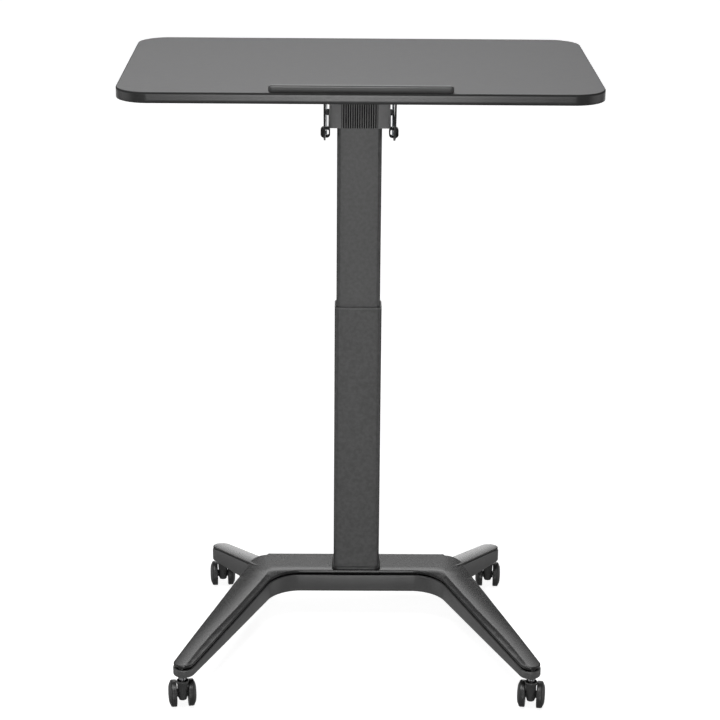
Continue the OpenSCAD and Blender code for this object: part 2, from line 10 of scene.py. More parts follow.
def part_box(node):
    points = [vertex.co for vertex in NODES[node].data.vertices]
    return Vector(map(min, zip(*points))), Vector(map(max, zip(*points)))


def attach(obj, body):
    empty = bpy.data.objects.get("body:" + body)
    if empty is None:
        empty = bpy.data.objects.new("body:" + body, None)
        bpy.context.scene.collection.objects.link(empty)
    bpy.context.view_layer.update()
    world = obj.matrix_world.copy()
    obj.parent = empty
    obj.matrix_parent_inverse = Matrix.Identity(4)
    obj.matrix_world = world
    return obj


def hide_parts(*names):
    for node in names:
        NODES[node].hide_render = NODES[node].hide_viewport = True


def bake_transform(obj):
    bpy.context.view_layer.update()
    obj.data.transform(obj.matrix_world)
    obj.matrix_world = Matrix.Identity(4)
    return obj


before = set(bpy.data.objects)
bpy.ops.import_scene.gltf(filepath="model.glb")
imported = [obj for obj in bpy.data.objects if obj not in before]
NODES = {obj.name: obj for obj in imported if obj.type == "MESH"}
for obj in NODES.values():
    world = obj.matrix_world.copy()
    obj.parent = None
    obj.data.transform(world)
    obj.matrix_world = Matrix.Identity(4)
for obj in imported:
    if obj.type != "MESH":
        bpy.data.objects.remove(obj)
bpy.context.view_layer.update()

# Shapes are written in millimetres about the column's centre line, as the CAD is.
_lo, _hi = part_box("outer_column")
SHIFT_Y = (_lo.y + _hi.y) / 2
TOP_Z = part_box("desktop_board")[1].z * 1000
DESK_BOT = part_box("desktop_board")[0].z * 1000
HEAD_Z = TOP_Z - 102        # underside of the head
DESK_W, DESK_D, DESK_R = 800, 500, 55
HINGE_Y = 5                 # the cable leaves the head on the hinge's line
FRONT_STEM, REAR_STEM = (298, -369), (256, 119)


def at(x, y, z):
    return Vector((x / 1000, y / 1000 + SHIFT_Y, z / 1000))


# ---------------------------------------------------------------- materials
def new_material(name):
    m = bpy.data.materials.new(name)
    m.use_nodes = True
    tree = m.node_tree
    return m, tree, tree.nodes["Principled BSDF"]


def add(tree, kind, **inputs):
    node = tree.nodes.new(kind)
    for key, value in inputs.items():
        if key.startswith("p_"):
            setattr(node, key[2:], value)
        else:
            node.inputs[key.replace("_", " ")].default_value = value
    return node


def noise(tree, scale, detail=3.0, stretch=(1, 1, 1), rough=0.55):
    coord = add(tree, "ShaderNodeTexCoord")
    place = add(tree, "ShaderNodeMapping")
    place.inputs["Scale"].default_value = stretch
    tex = add(tree, "ShaderNodeTexNoise", Scale=scale, Detail=detail, Roughness=rough)
    tree.links.new(coord.outputs["Object"], place.inputs["Vector"])
    tree.links.new(place.outputs["Vector"], tex.inputs["Vector"])
    return tex.outputs["Fac"]


def ramp(tree, source, stops):
    r = add(tree, "ShaderNodeValToRGB")
    els = r.color_ramp.elements
    while len(els) < len(stops):
        els.new(0.5)
    for e, (pos, c) in zip(els, stops):
        e.position = pos
        e.color = (c, c, c, 1)
    tree.links.new(source, r.inputs["Fac"])
    return r.outputs["Color"]


def spread(tree, source, lo, hi, a=0.35, b=0.65):
    m = add(tree, "ShaderNodeMapRange")
    m.inputs["From Min"].default_value = a
    m.inputs["From Max"].default_value = b
    m.inputs["To Min"].default_value = lo
    m.inputs["To Max"].default_value = hi
    tree.links.new(source, m.inputs["Value"])
    return m.outputs["Result"]


def mix(tree, fac, a, b):
    m = add(tree, "ShaderNodeMix", p_data_type="RGBA")
    tree.links.new(fac, m.inputs["Factor"])
    for socket, value in ((m.inputs[6], a), (m.inputs[7], b)):
        if isinstance(value, tuple):
            socket.default_value = (*value, 1)
        else:
            tree.links.new(value, socket)
    return m.outputs[2]


def bump(tree, shader, height, strength, distance):
    b = add(tree, "ShaderNodeBump", Strength=strength, Distance=distance)
    tree.links.new(height, b.inputs["Height"])
    tree.links.new(b.outputs["Normal"], shader.inputs["Normal"])


def coat(name, tone, rough=0.42, grain=900, depth=0.00012, strength=0.25, worn=0.06,
         spec=0.5, tint=(1, 1, 1), spread_by=0.12, corner=None):
    """A moulded or coated surface: fine grain, slow drift of tone, paler worn edges.

    corner gives the half widths in mm between which a tube's rounded corners are painted near black, a
    painted shade for the dark they reflect.
    """
    m, tree, s = new_material(name)
    base = tuple(tone * t for t in tint)
    drift = noise(tree, 9, 4)
    dark = tuple(c * (1 - spread_by) for c in base)
    pale = tuple(c * (1 + spread_by) for c in base)
    body = mix(tree, spread(tree, drift, 0.0, 1.0), dark, pale)
    # painted shade: a tube's rounded corners, found by their distance from its middle, are painted near
    # black
    if corner:
        coord = add(tree, "ShaderNodeTexCoord")
        axes = add(tree, "ShaderNodeSeparateXYZ")
        tree.links.new(coord.outputs["Object"], axes.inputs["Vector"])
        width = add(tree, "ShaderNodeMath", p_operation="ABSOLUTE")
        tree.links.new(axes.outputs["X"], width.inputs[0])
        near = spread(tree, width.outputs[0], 0.0, 1.0, corner[0] / 1000, corner[1] / 1000)
        body = mix(tree, near, body, (0.004, 0.004, 0.004))
    geometry = add(tree, "ShaderNodeNewGeometry")
    edge = spread(tree, geometry.outputs["Pointiness"], 0.0, 1.0, 0.53, 0.62)
    scuff = noise(tree, 160, 5)
    both = add(tree, "ShaderNodeMath", p_operation="MULTIPLY")
    tree.links.new(edge, both.inputs[0])
    tree.links.new(spread(tree, scuff, 0.2, 1.0), both.inputs[1])
    rim = tuple(c + worn for c in base)
    tree.links.new(mix(tree, both.outputs[0], body, rim), s.inputs["Base Color"])
    fine = noise(tree, grain, 2)
    tree.links.new(spread(tree, fine, rough - 0.06, rough + 0.06), s.inputs["Roughness"])
    s.inputs["Specular IOR Level"].default_value = spec
    bump(tree, s, fine, strength, depth)
    return m


def laminate():
    """Matt dark laminate: a faint grain along the width over a fine pebble."""
    m, tree, s = new_material("laminate")
    streak = noise(tree, 60, 6, (1, 14, 1), 0.6)
    pebble = noise(tree, 1500, 2)
    tone = spread(tree, streak, 0.0, 1.0, 0.3, 0.7)
    body = mix(tree, tone, (0.088, 0.088, 0.09), (0.11, 0.11, 0.111))
    speck = spread(tree, pebble, 0.0, 0.5, 0.45, 0.75)
    tree.links.new(mix(tree, speck, body, (0.21, 0.21, 0.21)), s.inputs["Base Color"])
    tree.links.new(spread(tree, pebble, 0.55, 0.68), s.inputs["Roughness"])
    s.inputs["Specular IOR Level"].default_value = 0.3
    bump(tree, s, pebble, 0.35, 0.00015)
    return m


def edge_band_material():
    """Satin edge trim whose rounded upper lip is painted near black and made rough, a painted shade."""
    m, tree, s = new_material("edge_trim")
    coord = add(tree, "ShaderNodeTexCoord")
    split = add(tree, "ShaderNodeSeparateXYZ")
    tree.links.new(coord.outputs["Object"], split.inputs["Vector"])
    # painted shade: the band's rounded upper lip, just under the top face, is painted near black in
    # place of the dark it reflects
    lip = spread(tree, split.outputs["Z"], 0.0, 1.0, (TOP_Z - 3.3) / 1000, (TOP_Z - 2.8) / 1000)
    drift = noise(tree, 14, 4)
    body = mix(tree, spread(tree, drift, 0.0, 1.0), (0.022, 0.022, 0.022), (0.028, 0.028, 0.028))
    tree.links.new(mix(tree, lip, body, (0.006, 0.006, 0.006)), s.inputs["Base Color"])
    fine = noise(tree, 1300, 2, (1, 1, 0.3))
    satin = spread(tree, fine, 0.16, 0.24)
    # the painted-shade lip is also made rougher by 0.6, so it stays dull
    both = add(tree, "ShaderNodeMath", p_operation="MULTIPLY_ADD")
    tree.links.new(lip, both.inputs[0])
    both.inputs[1].default_value = 0.6
    tree.links.new(satin, both.inputs[2])
    tree.links.new(both.outputs[0], s.inputs["Roughness"])
    bump(tree, s, fine, 0.2, 0.0001)
    return m


def metal(name, tone, rough, stretch=(1, 1, 1), tint=(1, 1, 1), grain=700):
    """Bare or plated metal with a fine brushed or rolled grain."""
    m, tree, s = new_material(name)
    base = tuple(tone * t for t in tint)
    cloud = noise(tree, 70, 5)
    dull = tuple(c * 0.8 for c in base)
    tree.links.new(mix(tree, spread(tree, cloud, 0.0, 1.0), dull, base), s.inputs["Base Color"])
    fine = noise(tree, grain, 3, stretch)
    tree.links.new(spread(tree, fine, rough - 0.08, rough + 0.1), s.inputs["Roughness"])
    s.inputs["Metallic"].default_value = 1.0
    bump(tree, s, fine, 0.2, 0.00008)
    return m


MAT = {
    "desk_laminate": laminate(),
    "edge_trim": edge_band_material(),
    "stop_coat": coat("stop_coat", 0.03, 0.34, 1100, 0.0001, 0.18, 0.03),
    "bracket_coat": coat("bracket_coat", 0.022, 0.4, 900),
    "head_plastic": coat("head_plastic", 0.12, 0.46, 1300, 0.0001, 0.3, 0.03),
    "rib_plastic": coat("rib_plastic", 0.11, 0.45, 1300, 0.0001, 0.2, 0.03),
    # painted shade: near-black backing for the shade between the head's ribs
    "rib_back": coat("rib_back", 0.003, 0.7, 1300, 0.0001, 0.2, 0.0, 0.1),
    "latch_plastic": coat("latch_plastic", 0.008, 0.36, 1200, 0.0001, 0.2, 0.03),
    "zinc_strip": metal("zinc_strip", 0.3, 0.42, (1, 1, 0.1), (0.86, 0.94, 1.0)),
    "bright_steel": metal("bright_steel", 0.85, 0.34, (1, 1, 1), (1, 1, 1.02)),
    "fastener_black": coat("fastener_black", 0.014, 0.32, 800, 0.0001, 0.2, 0.1),
    # the tubes' corner widths set where painted shade darkens their rounded corners
    "column_coat": coat("column_coat", 0.045, 0.34, 1000, 0.0001, 0.16, 0.05,
                        corner=(38.8, 40.0), spread_by=0.03),
    "lift_coat": coat("lift_coat", 0.05, 0.34, 1000, 0.0001, 0.16, 0.05,
                      corner=(35.9, 37.1), spread_by=0.03),
    "glide_plastic": coat("glide_plastic", 0.7, 0.42, 900, tint=(1, 0.99, 0.94), worn=0.0),
    "collar_plastic": coat("collar_plastic", 0.07, 0.42, 1100, 0.0001, 0.25, 0.05),
    "spring_coat": coat("spring_coat", 0.012, 0.16, 300, 0.0001, 0.05, 0.02),
    "raw_steel": metal("raw_steel", 0.42, 0.38, (0.2, 1, 1)),
    "base_coat": coat("base_coat", 0.058, 0.34, 1000, 0.0001, 0.2, 0.08),
    "cover_plastic": coat("cover_plastic", 0.018, 0.24, 1200, 0.0001, 0.12, 0.0),
    # painted shade: near-black finish for the groove's wall, standing in for the shade in the gap
    "groove_painted_shade": coat("groove_painted_shade", 0.002, 0.8, 900, 0.0001, 0.2, 0.0, 0.05),
    "cable_sheath": coat("cable_sheath", 0.012, 0.45, 500, 0.0001, 0.3, 0.0),
    "caster_plastic": coat("caster_plastic", 0.03, 0.42, 1200, 0.0001, 0.3, 0.05),
    "wheel_plastic": coat("wheel_plastic", 0.022, 0.36, 900, 0.0001, 0.2, 0.05),
}


# ------------------------------------------------------------ mesh building
def rrect(w, d, r, n=8, cx=0.0, cy=0.0):
    """A rounded rectangle in plan, counter-clockwise."""
    pts = []
    for sx, sy, a0 in ((1, 1, 0), (-1, 1, 90), (-1, -1, 180), (1, -1, 270)):
        for k in range(n + 1):
            a = math.radians(a0 + 90 * k / n)
            pts.append((cx + sx * (w / 2 - r) + r * math.cos(a),
                        cy + sy * (d / 2 - r) + r * math.sin(a)))
    return pts


def join_rings(bm, rings, closed=False):
    """Quads between rings of vertices, each ring a closed loop."""
    pairs = list(zip(rings, rings[1:]))
    if closed:
        pairs.append((rings[-1], rings[0]))
    for a, b in pairs:
        n = len(a)
        for i in range(n):
            bm.faces.new((a[i], a[(i + 1) % n], b[(i + 1) % n], b[i]))


def ring_verts(bm, pts):
    return [bm.verts.new(at(*p)) for p in pts]


def finish_piece(bm, name, slot, body, replaces=(), angle=35.0, material=None):
    bmesh.ops.recalc_face_normals(bm, faces=bm.faces)
    me = bpy.data.meshes.new(name)
    bm.to_mesh(me)
    bm.free()
    me.shade_smooth()
    me.set_sharp_from_angle(angle=math.radians(angle))
    me.materials.append(material or MAT[slot])
    o = bpy.data.objects.new(name, me)
    bpy.context.scene.collection.objects.link(o)
    if body:
        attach(o, body)
    if replaces:
        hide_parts(*replaces)
    return o


def close_ends(bm, rings):
    """A lofted solid: the rings joined, and the first and last ones capped."""
    join_rings(bm, rings)
    bm.faces.new(rings[0][::-1])
    bm.faces.new(rings[-1])


def stack(bm, loop, levels):
    """A solid through loops: loop(inset) gives the plan, levels are (inset, z)."""
    close_ends(bm, [ring_verts(bm, [(x, y, z) for x, y in loop(i)]) for i, z in levels])


def sweep_tube(bm, path, radius, n=14):
    """A round tube along a list of points in millimetres."""
    pts = [Vector(p) for p in path]
    rings, side = [], None
    for i, p in enumerate(pts):
        t = (pts[min(i + 1, len(pts) - 1)] - pts[max(i - 1, 0)]).normalized()
        if side is None:
            side = t.orthogonal().normalized()
        side = (side - t * side.dot(t)).normalized()
        up = t.cross(side)
        rings.append(ring_verts(bm, [
            p + radius * (side * math.cos(2 * math.pi * k / n) + up * math.sin(2 * math.pi * k / n))
            for k in range(n)]))
    close_ends(bm, rings)


def soften(node, slot, width):
    """A carried-over CAD node: its own finish, and fine rounded edges by modifier."""
    o = NODES[node]
    o.data.materials.clear()
    o.data.materials.append(MAT[slot])
    weld = o.modifiers.new("weld", "WELD")
    weld.merge_threshold = 0.00002
    flat = o.modifiers.new("flat", "DECIMATE")
    flat.decimate_type = "DISSOLVE"
    flat.angle_limit = math.radians(0.6)
    bev = o.modifiers.new("bevel", "BEVEL")
    bev.width = width / 1000
    bev.segments = 3
    bev.limit_method = "ANGLE"
    bev.angle_limit = math.radians(28)
    bev.use_clamp_overlap = True
    bev.harden_normals = False


# ----------------------------------------------------------------- desktop
def desktop():
    w, d, r = DESK_W, DESK_D, DESK_R
    bm = bmesh.new()
    stack(bm, lambda i: rrect(w - 3 - 2 * i, d - 3 - 2 * i, r - 1.5 - i, 24),
          [(0.4, DESK_BOT), (0.0, DESK_BOT + 0.4), (0.0, TOP_Z - 0.25), (0.25, TOP_Z)])
    finish_piece(bm, "desktop_panel", "desk_laminate", "top", ["desktop_board"])

    bm = bmesh.new()
    low = [(1.5, 0.0), (0.9, 0.05), (0.3, 0.4), (0.0, 1.1), (0.0, 6), (0.0, 12)]
    high = [(0.0, 1.5), (0.12, 0.9), (0.44, 0.42), (0.9, 0.12), (1.5, 0.0)]
    levels = [(i, DESK_BOT + up) for i, up in low] + [(i, TOP_Z - down) for i, down in high]
    rings = [ring_verts(bm, [(x, y, z) for x, y in rrect(w - 2 * i, d - 2 * i, r - i, 24)])
             for i, z in levels]
    join_rings(bm, rings, closed=True)
    # the edge band's material paints shade on its rounded upper lip
    finish_piece(bm, "desktop_edge_band", "edge_trim", "top", ["edge_band"])


def stop():
    """The stop bar: pill-shaped in plan, crowned top, undercut foot."""
    w, d = 300, 14
    cy = (d - DESK_D) / 2
    section = [(1.8, 0), (1.5, 0.9), (0.45, 1.7), (0.0, 2.8), (0.0, 7.6), (0.25, 8.9),
               (0.9, 10.1), (1.9, 10.9), (3.2, 11.5), (4.8, 12)]
    bm = bmesh.new()
    stack(bm, lambda i: rrect(w - 2 * i, d - 2 * i, d / 2 - 0.5 - i, 10, cy=cy),
          [(i, TOP_Z + up) for i, up in section])
    finish_piece(bm, "stop_bar_body", "stop_coat", "top", ["stop_bar"], angle=60)


# ------------------------------------------------------------------ column
def hollow(bm, outer, inner, levels_out, levels_in):
    rings = [ring_verts(bm, [(x, y, z) for x, y in outer(i)]) for i, z in levels_out]
    rings += [ring_verts(bm, [(x, y, z) for x, y in inner(i)]) for i, z in levels_in]
    join_rings(bm, rings, closed=True)


def tube(name, material, body, node, w, d, r, wall):
    """A rectangular tube as long as its CAD node, with its outer ends eased."""
    z0, z1 = (end.z * 1000 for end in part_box(node))
    bm = bmesh.new()
    hollow(bm, lambda i: rrect(w - 2 * i, d - 2 * i, r - i, 12),
           lambda i: rrect(w - 2 * wall - 2 * i, d - 2 * wall - 2 * i, r - wall - i, 12),
           [(0.4, z0), (0, z0 + 0.4), (0, z1 - 0.3), (0.3, z1)], [(0, z1), (0, z0)])
    finish_piece(bm, name, "column_coat", body, [node], material=MAT[material])


def columns():
    tube("outer_tube", "column_coat", "base", "outer_column", 84, 50, 8, 1.8)
    tube("inner_tube", "lift_coat", "lift", "inner_column", 78, 44, 7, 1.8)
    # collar: a shallow lip over the tube's end, a plug inside it
    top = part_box("top_collar")[1].z * 1000
    bm = bmesh.new()
    hollow(bm, lambda i: rrect(84 - 2 * i, 50 - 2 * i, 8 - i, 12),
           lambda i: rrect(78.6 - 2 * i, 44.6 - 2 * i, 7.3 - i, 12),
           [(1.85, top - 44), (1.85, top - 4.0), (0.35, top - 4.0), (0, top - 3.6), (0, top - 1.2),
            (0.25, top - 0.5), (0.8, top)], [(-0.5, top), (0, top - 0.6), (0, top - 44)])
    finish_piece(bm, "column_collar", "collar_plastic", "base", ["top_collar"])
    # partly painted shadow: the foot band is a real gasket, but its near-black plastic also stands in
    # for the contact shadow at the column's foot
    z0, z1 = (end.z * 1000 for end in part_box("foot_band"))
    bm = bmesh.new()
    hollow(bm, lambda i: rrect(88 - 2 * i, 54 - 2 * i, 10 - i, 12),
           lambda i: rrect(84 - 2 * i, 50 - 2 * i, 8 - i, 12),
           [(0, z0), (0, z1 - 1.2), (0.4, z1 - 0.4), (1.2, z1)], [(0, z1), (0, z0)])
    finish_piece(bm, "column_foot_band_and_shade", "latch_plastic", "base", ["foot_band"])


# -------------------------------------------------------------------- base
# Plan, mirrored in X. The ridge is listed as (y, x).
FRONT_TIP, FRONT_TIP_R = (295.5, -361.5), 18.7
REAR_ROOT, REAR_TIP = (178, 12), (256.0, 112.0)
FRONT_BOUNDS = (-330, 331, -392, 60)
REAR_BOUNDS = ((150, 285, -16, 140), (-285, -150, -16, 140))
SKIRT_Z = 62.0              # the skirt's foot
WALL = 4.0                  # the skirt's wall
GROOVE_DEPTH = 5.4          # how far the cover reaches down behind the groove
FRONT_GAP, REAR_GAP = 4.6, 0.9
RIDGE = [(60, 166), (40, 165), (-32, 164.5), (-48, 167), (-63, 172), (-90, 182), (-175, 215),
         (-269, 254), (-323, 274), (-372, 290), (-400, 300)]


def sd_bar(x, y, a, ra, b, rb):
    """Distance outside a bar between two circles of different radius."""
    dx, dy = b[0] - a[0], b[1] - a[1]
    n = math.hypot(dx, dy)
    along = ((x - a[0]) * dx + (y - a[1]) * dy) / n
    off = np.abs((x - a[0]) * dy - (y - a[1]) * dx) / n
    sb = (ra - rb) / n
    cb = math.sqrt(1 - sb * sb)
    k = -sb * off + cb * along
    mid = off * cb + along * sb - ra
    return np.where(k < 0, np.hypot(off, along) - ra,
                    np.where(k > cb * n, np.hypot(off, along - n) - rb, mid))


def sd_front(x, y):
    """The crossbar, both front legs and their inner fillets, less the column."""
    x = np.abs(x)
    box = np.maximum(x - 167, np.abs(y - 7.5) - 38.5)
    leg = sd_bar(x, y, (167, 7), 33.6, FRONT_TIP, FRONT_TIP_R)
    # the inner fillet is tangent to the crossbar's front and to the leg's inner side
    cx, cy, r = 100.75, -97, 66.15
    wedge = np.maximum.reduce([cx - x, y + 12, x - 186, -0.9322 * (y - cy) + 0.362 * (x - cx)])
    fillet = np.maximum(wedge, r - np.hypot(x - cx, y - cy))
    col = np.maximum(x - 41.9, np.abs(y) - 24.9)
    return np.maximum(np.minimum(np.minimum(box, leg), fillet), -col)


def sd_rear(x, y):
    return sd_bar(np.abs(x), y, REAR_ROOT, 21.4, REAR_TIP, 18.6)


def contours(sd, x0, x1, y0, y1, step=3.0):
    """Closed loops where sd is zero, from a marching grid."""
    xs, ys = np.arange(x0, x1, step), np.arange(y0, y1, step)
    g = sd(*np.meshgrid(xs, ys, indexing="ij"))
    nxt = {}

    def cross(i, j, k, m):
        t = g[i, j] / (g[i, j] - g[k, m])
        key = (min((i, j), (k, m)), max((i, j), (k, m)))
        return key, (xs[i] + t * (xs[k] - xs[i]), ys[j] + t * (ys[m] - ys[j]))

    where = {}
    for i in range(len(xs) - 1):
        for j in range(len(ys) - 1):
            corner = [(i, j), (i + 1, j), (i + 1, j + 1), (i, j + 1)]
            neg = [g[c] < 0 for c in corner]
            if all(neg) or not any(neg):
                continue
            starts, ends = [], []
            for a in range(4):
                p, q = corner[a], corner[(a + 1) % 4]
                if neg[a] != neg[(a + 1) % 4]:
                    key, pt = cross(*p, *q)
                    where[key] = pt
                    (ends if neg[a] else starts).append(key)
            for a, b in zip(starts, ends):
                nxt[b] = a
    loops = []
    while nxt:
        key = next(iter(nxt))
        loop = []
        while key in nxt:
            loop.append(where[key])
            key = nxt.pop(key)
        loops.append(np.array(loop))
    return loops


def settle(sd, pts, inset):
    """Moves points onto the line that lies inset inside the outline, by Newton steps."""
    p = np.array(pts, float)
    e = 0.05
    for _ in range(6):
        d = sd(p[:, 0], p[:, 1]) + inset
        gx = (sd(p[:, 0] + e, p[:, 1]) - sd(p[:, 0] - e, p[:, 1])) / (2 * e)
        gy = (sd(p[:, 0], p[:, 1] + e) - sd(p[:, 0], p[:, 1] - e)) / (2 * e)
        n = np.maximum(gx * gx + gy * gy, 0.2)
        p -= np.stack([d * gx / n, d * gy / n], 1)
    return p


def thin(pts, least):
    """Drops points closer than least to the one before."""
    keep = [pts[0]]
    for p in pts[1:]:
        if np.hypot(*(p - keep[-1])) >= least:
            keep.append(p)
    return np.array(keep)


def fade(v, a, b):
    """A smooth step from 0 at a to 1 at b."""
    t = np.clip((v - a) / (b - a), 0, 1)
    return t * t * (3 - 2 * t)


def slope(y, top, tip):
    """Heights that stay level over the crossbar and fall to both tips."""
    return np.interp(y, [-400, -32, 46, 140], [tip, top, top, tip])


def ridge_x(y):
    ys, xs = zip(*RIDGE[::-1])
    return np.interp(y, ys, xs)


def top_front(x, y):
    """The cover's upper face: flat crossbar, ridge, crowned outer and hollow inner facet."""
    x = np.abs(np.asarray(x, float))
    z = slope(y, 104, 84)
    lean = (ridge_x(y - 3) - ridge_x(y + 3)) / 6
    q = (x - ridge_x(y)) / np.sqrt(1 + lean * lean)
    out = np.maximum(q, 0)
    inn = np.maximum(-q, 0)
    deep = np.interp(y, [-400, -360, -200, -90, -40], [1.2, 2.4, 4.4, 5.2, 4.6])
    z = z - 0.03 * out - 0.0024 * out ** 2
    return z - deep * (1 - np.exp(-0.46 * inn / deep)) * fade(-np.asarray(y, float), 16, 66)


def top_rear(x, y):
    """The rear leg's upper face: falling to the tip, crowned across."""
    x = np.abs(np.asarray(x, float))
    x0, y0 = REAR_ROOT
    dx, dy = REAR_TIP[0] - x0, REAR_TIP[1] - y0
    off = ((x - x0) * dy - (y - y0) * dx) / math.hypot(dx, dy)
    return 101.2 - (y - y0) * 0.118 - 0.0022 * off ** 2


def cover_edge(top, x, y):
    """Height of the cover's lower edge, just above the groove."""
    return np.minimum(slope(y, 98.2, 79.2), top(x, y) - 2.0)


def fill(bm, sd, loops, inset, height, step, flip, lines=()):
    """Triangles across the space inside the loops, at height(x, y)."""
    pts, owner, edges = [], [], []
    for verts, xy in loops:
        first = len(pts)
        for v, p in zip(verts, xy):
            pts.append(Vector(p))
            owner.append(v)
        edges += [(first + i, first + (i + 1) % len(xy)) for i in range(len(xy))]
    lo = np.min([xy.min(0) for _, xy in loops], 0)
    hi = np.max([xy.max(0) for _, xy in loops], 0)
    gx, gy = np.meshgrid(np.arange(lo[0], hi[0], step), np.arange(lo[1], hi[1], step))
    gx = gx + np.where(np.arange(gx.shape[0])[:, None] % 2, step / 2, 0)
    grid = np.stack([gx.ravel(), gy.ravel()], 1)
    near = np.zeros(len(grid), bool)
    extra = [p for run in lines for p in run]
    for p in extra:
        near |= np.hypot(grid[:, 0] - p[0], grid[:, 1] - p[1]) < step * 0.55
    inside = sd(grid[:, 0], grid[:, 1]) < -(inset + step * 0.5)
    for p in list(grid[inside & ~near]) + extra:
        if sd(np.array([p[0]]), np.array([p[1]]))[0] < -(inset + 0.8):
            pts.append(Vector((float(p[0]), float(p[1]))))
            owner.append(None)
    out, _, faces, origin, _, _ = delaunay_2d_cdt(pts, edges, [], 0, 1e-5)
    made = []
    for k, p in enumerate(out):
        own = owner[origin[k][0]] if origin[k] else None
        if own is None:
            own = bm.verts.new(at(p.x, p.y, float(height(p.x, p.y))))
        made.append(own)
    # keep the triangles whose middle is inside the loops, by the even-odd rule
    flat = np.array([p[:] for p in out])
    mid = np.array([flat[f].mean(0) for f in faces])
    inside = np.zeros(len(faces), bool)
    for _, xy in loops:
        xy = xy.astype(np.float32).astype(float)
        for p, q in zip(xy, np.roll(xy, -1, 0)):
            if p[1] != q[1]:
                spans = (p[1] > mid[:, 1]) != (q[1] > mid[:, 1])
                crossing = p[0] + (mid[:, 1] - p[1]) * (q[0] - p[0]) / (q[1] - p[1])
                inside ^= spans & (mid[:, 0] < crossing)
    for f, keep in zip(faces, inside):
        if keep:
            bm.faces.new([made[i] for i in (f[::-1] if flip else f)])


def outline(sd, bounds):
    """The outline's loops, evenly thinned and settled just inside it."""
    return [thin(settle(sd, loop, 0.5), 2.2) for loop in contours(sd, *bounds)]


def shell(bm, sd, bounds, top, lines=()):
    """One closed cover: a wall behind the groove painted near black as its shade, an eased rim and the
    upper face.
    """
    def edge(x, y):
        return cover_edge(top, x, y)

    def foot(x, y):
        return edge(x, y) - GROOVE_DEPTH

    # (inset from the outline, height) from the foot to the rim
    profile = [(4.4, foot), (4.4, lambda x, y: edge(x, y) - 0.2),
               (1.6, lambda x, y: edge(x, y) - 0.1), (1.05, lambda x, y: edge(x, y) + 0.35),
               (1.0, lambda x, y: edge(x, y) + 0.9), (1.0, lambda x, y: top(x, y) - 0.95),
               (1.25, lambda x, y: top(x, y) - 0.35), (1.9, lambda x, y: top(x, y) - 0.04),
               (3.4, top)]
    feet, rims = [], []
    for base in outline(sd, bounds):
        rings = []
        for inset, height in profile:
            xy = settle(sd, base, inset)
            rings.append((ring_verts(bm, [(x, y, float(height(x, y))) for x, y in xy]), xy))
        join_rings(bm, [verts for verts, _ in rings])
        feet.append(rings[0])
        rims.append(rings[-1])
    step = 5.0
    fill(bm, sd, rims, profile[-1][0], top, step, False, lines)
    fill(bm, sd, feet, profile[0][0], foot, step * 3, True)


def ridge_lines():
    """Rows of points along both ridges, so that the triangles follow them."""
    return [[(sign * (float(ridge_x(y)) + off), float(y)) for y in np.arange(-366, 40, 4.0)]
            for sign in (-1, 1) for off in (-1.728, 0.0, 1.728)]


def base_cover():
    bm = bmesh.new()
    shell(bm, sd_front, FRONT_BOUNDS, top_front, ridge_lines())
    for bounds in REAR_BOUNDS:
        shell(bm, sd_rear, bounds, top_rear)
    bmesh.ops.holes_fill(bm, edges=[e for e in bm.edges if e.is_boundary], sides=8)
    bmesh.ops.dissolve_degenerate(bm, dist=0.00003, edges=bm.edges)
    # everything below the cover's edge is the groove's wall, painted near black as the groove's shade
    for f in bm.faces:
        c = f.calc_center_median()
        x, y, z = c.x * 1000, (c.y - SHIFT_Y) * 1000, c.z * 1000
        rear = sd_front(np.array([x]), np.array([y]))[0] > -0.5
        if z < cover_edge(top_rear if rear else top_front, x, y) - 0.12:
            f.material_index = 1
    o = finish_piece(bm, "base_shell", "cover_plastic", "base", ["base_cover"], 50)
    o.data.materials.append(MAT["groove_painted_shade"])


def skirt_walls(bm, sd, bounds, top, gap):
    """A wall round the outline: rounded foot, bevelled rim, hollow inside."""
    # shares of the foot's radius: (inset, height)
    rounding = [(1.0, 0.0), (0.62, 0.08), (0.29, 0.29), (0.08, 0.62), (0.0, 1.0)]
    rim = [(0.0, 1.3), (0.12, 0.75), (0.55, 0.25), (1.3, 0.0), (WALL, 0.0)]   # (inset, drop)
    for base in outline(sd, bounds):
        if np.abs(base).max(0)[0] < 60:
            continue            # the hole for the column has no wall
        r = np.interp(base[:, 1], [-380, -330, -250, 40, 100, 130], [3.0, 2.2, 1.4, 1.4, 2.2, 3.0])
        xy = settle(sd, base, WALL)
        rings = [ring_verts(bm, [(x, y, SKIRT_Z) for x, y in xy])]
        for inset, up in rounding:
            xy = settle(sd, base, inset * r)
            rings.append(ring_verts(bm, [(x, y, SKIRT_Z + up * h) for (x, y), h in zip(xy, r)]))
        for inset, drop in rim:
            xy = settle(sd, base, inset)
            rings.append(ring_verts(bm, [(x, y, float(cover_edge(top, x, y)) - gap - drop)
                                         for x, y in xy]))
        join_rings(bm, rings, closed=True)


def brick(bm, lo, hi, soft=0.0):
    """A box between two corners with softened edges, added to a mesh."""
    made = bmesh.ops.create_cube(bm, size=1.0)["verts"]
    a, b = at(*lo), at(*hi)
    for v in made:
        v.co = Vector(((a[k] + b[k]) / 2 + v.co[k] * (b[k] - a[k]) for k in range(3)))
    if soft:
        edges = list({e for v in made for e in v.link_edges})
        bmesh.ops.bevel(bm, geom=edges, offset=soft / 1000, segments=3, profile=0.5, affect="EDGES")


def boss(bm, x, y):
    """The bored boss under a leg's tip that holds a caster's stem."""
    r, bore, z0, z1 = 10.5, 7.0, 62.4, 74
    turn = [2 * math.pi * k / 40 for k in range(40)]
    rings = []
    for rr, z in ((bore, z0), (r - 0.5, z0), (r, z0 + 0.5), (r, z1), (bore, z1)):
        rings.append(ring_verts(bm, [(x + rr * math.cos(a), y + rr * math.sin(a), z) for a in turn]))
    join_rings(bm, rings, closed=True)


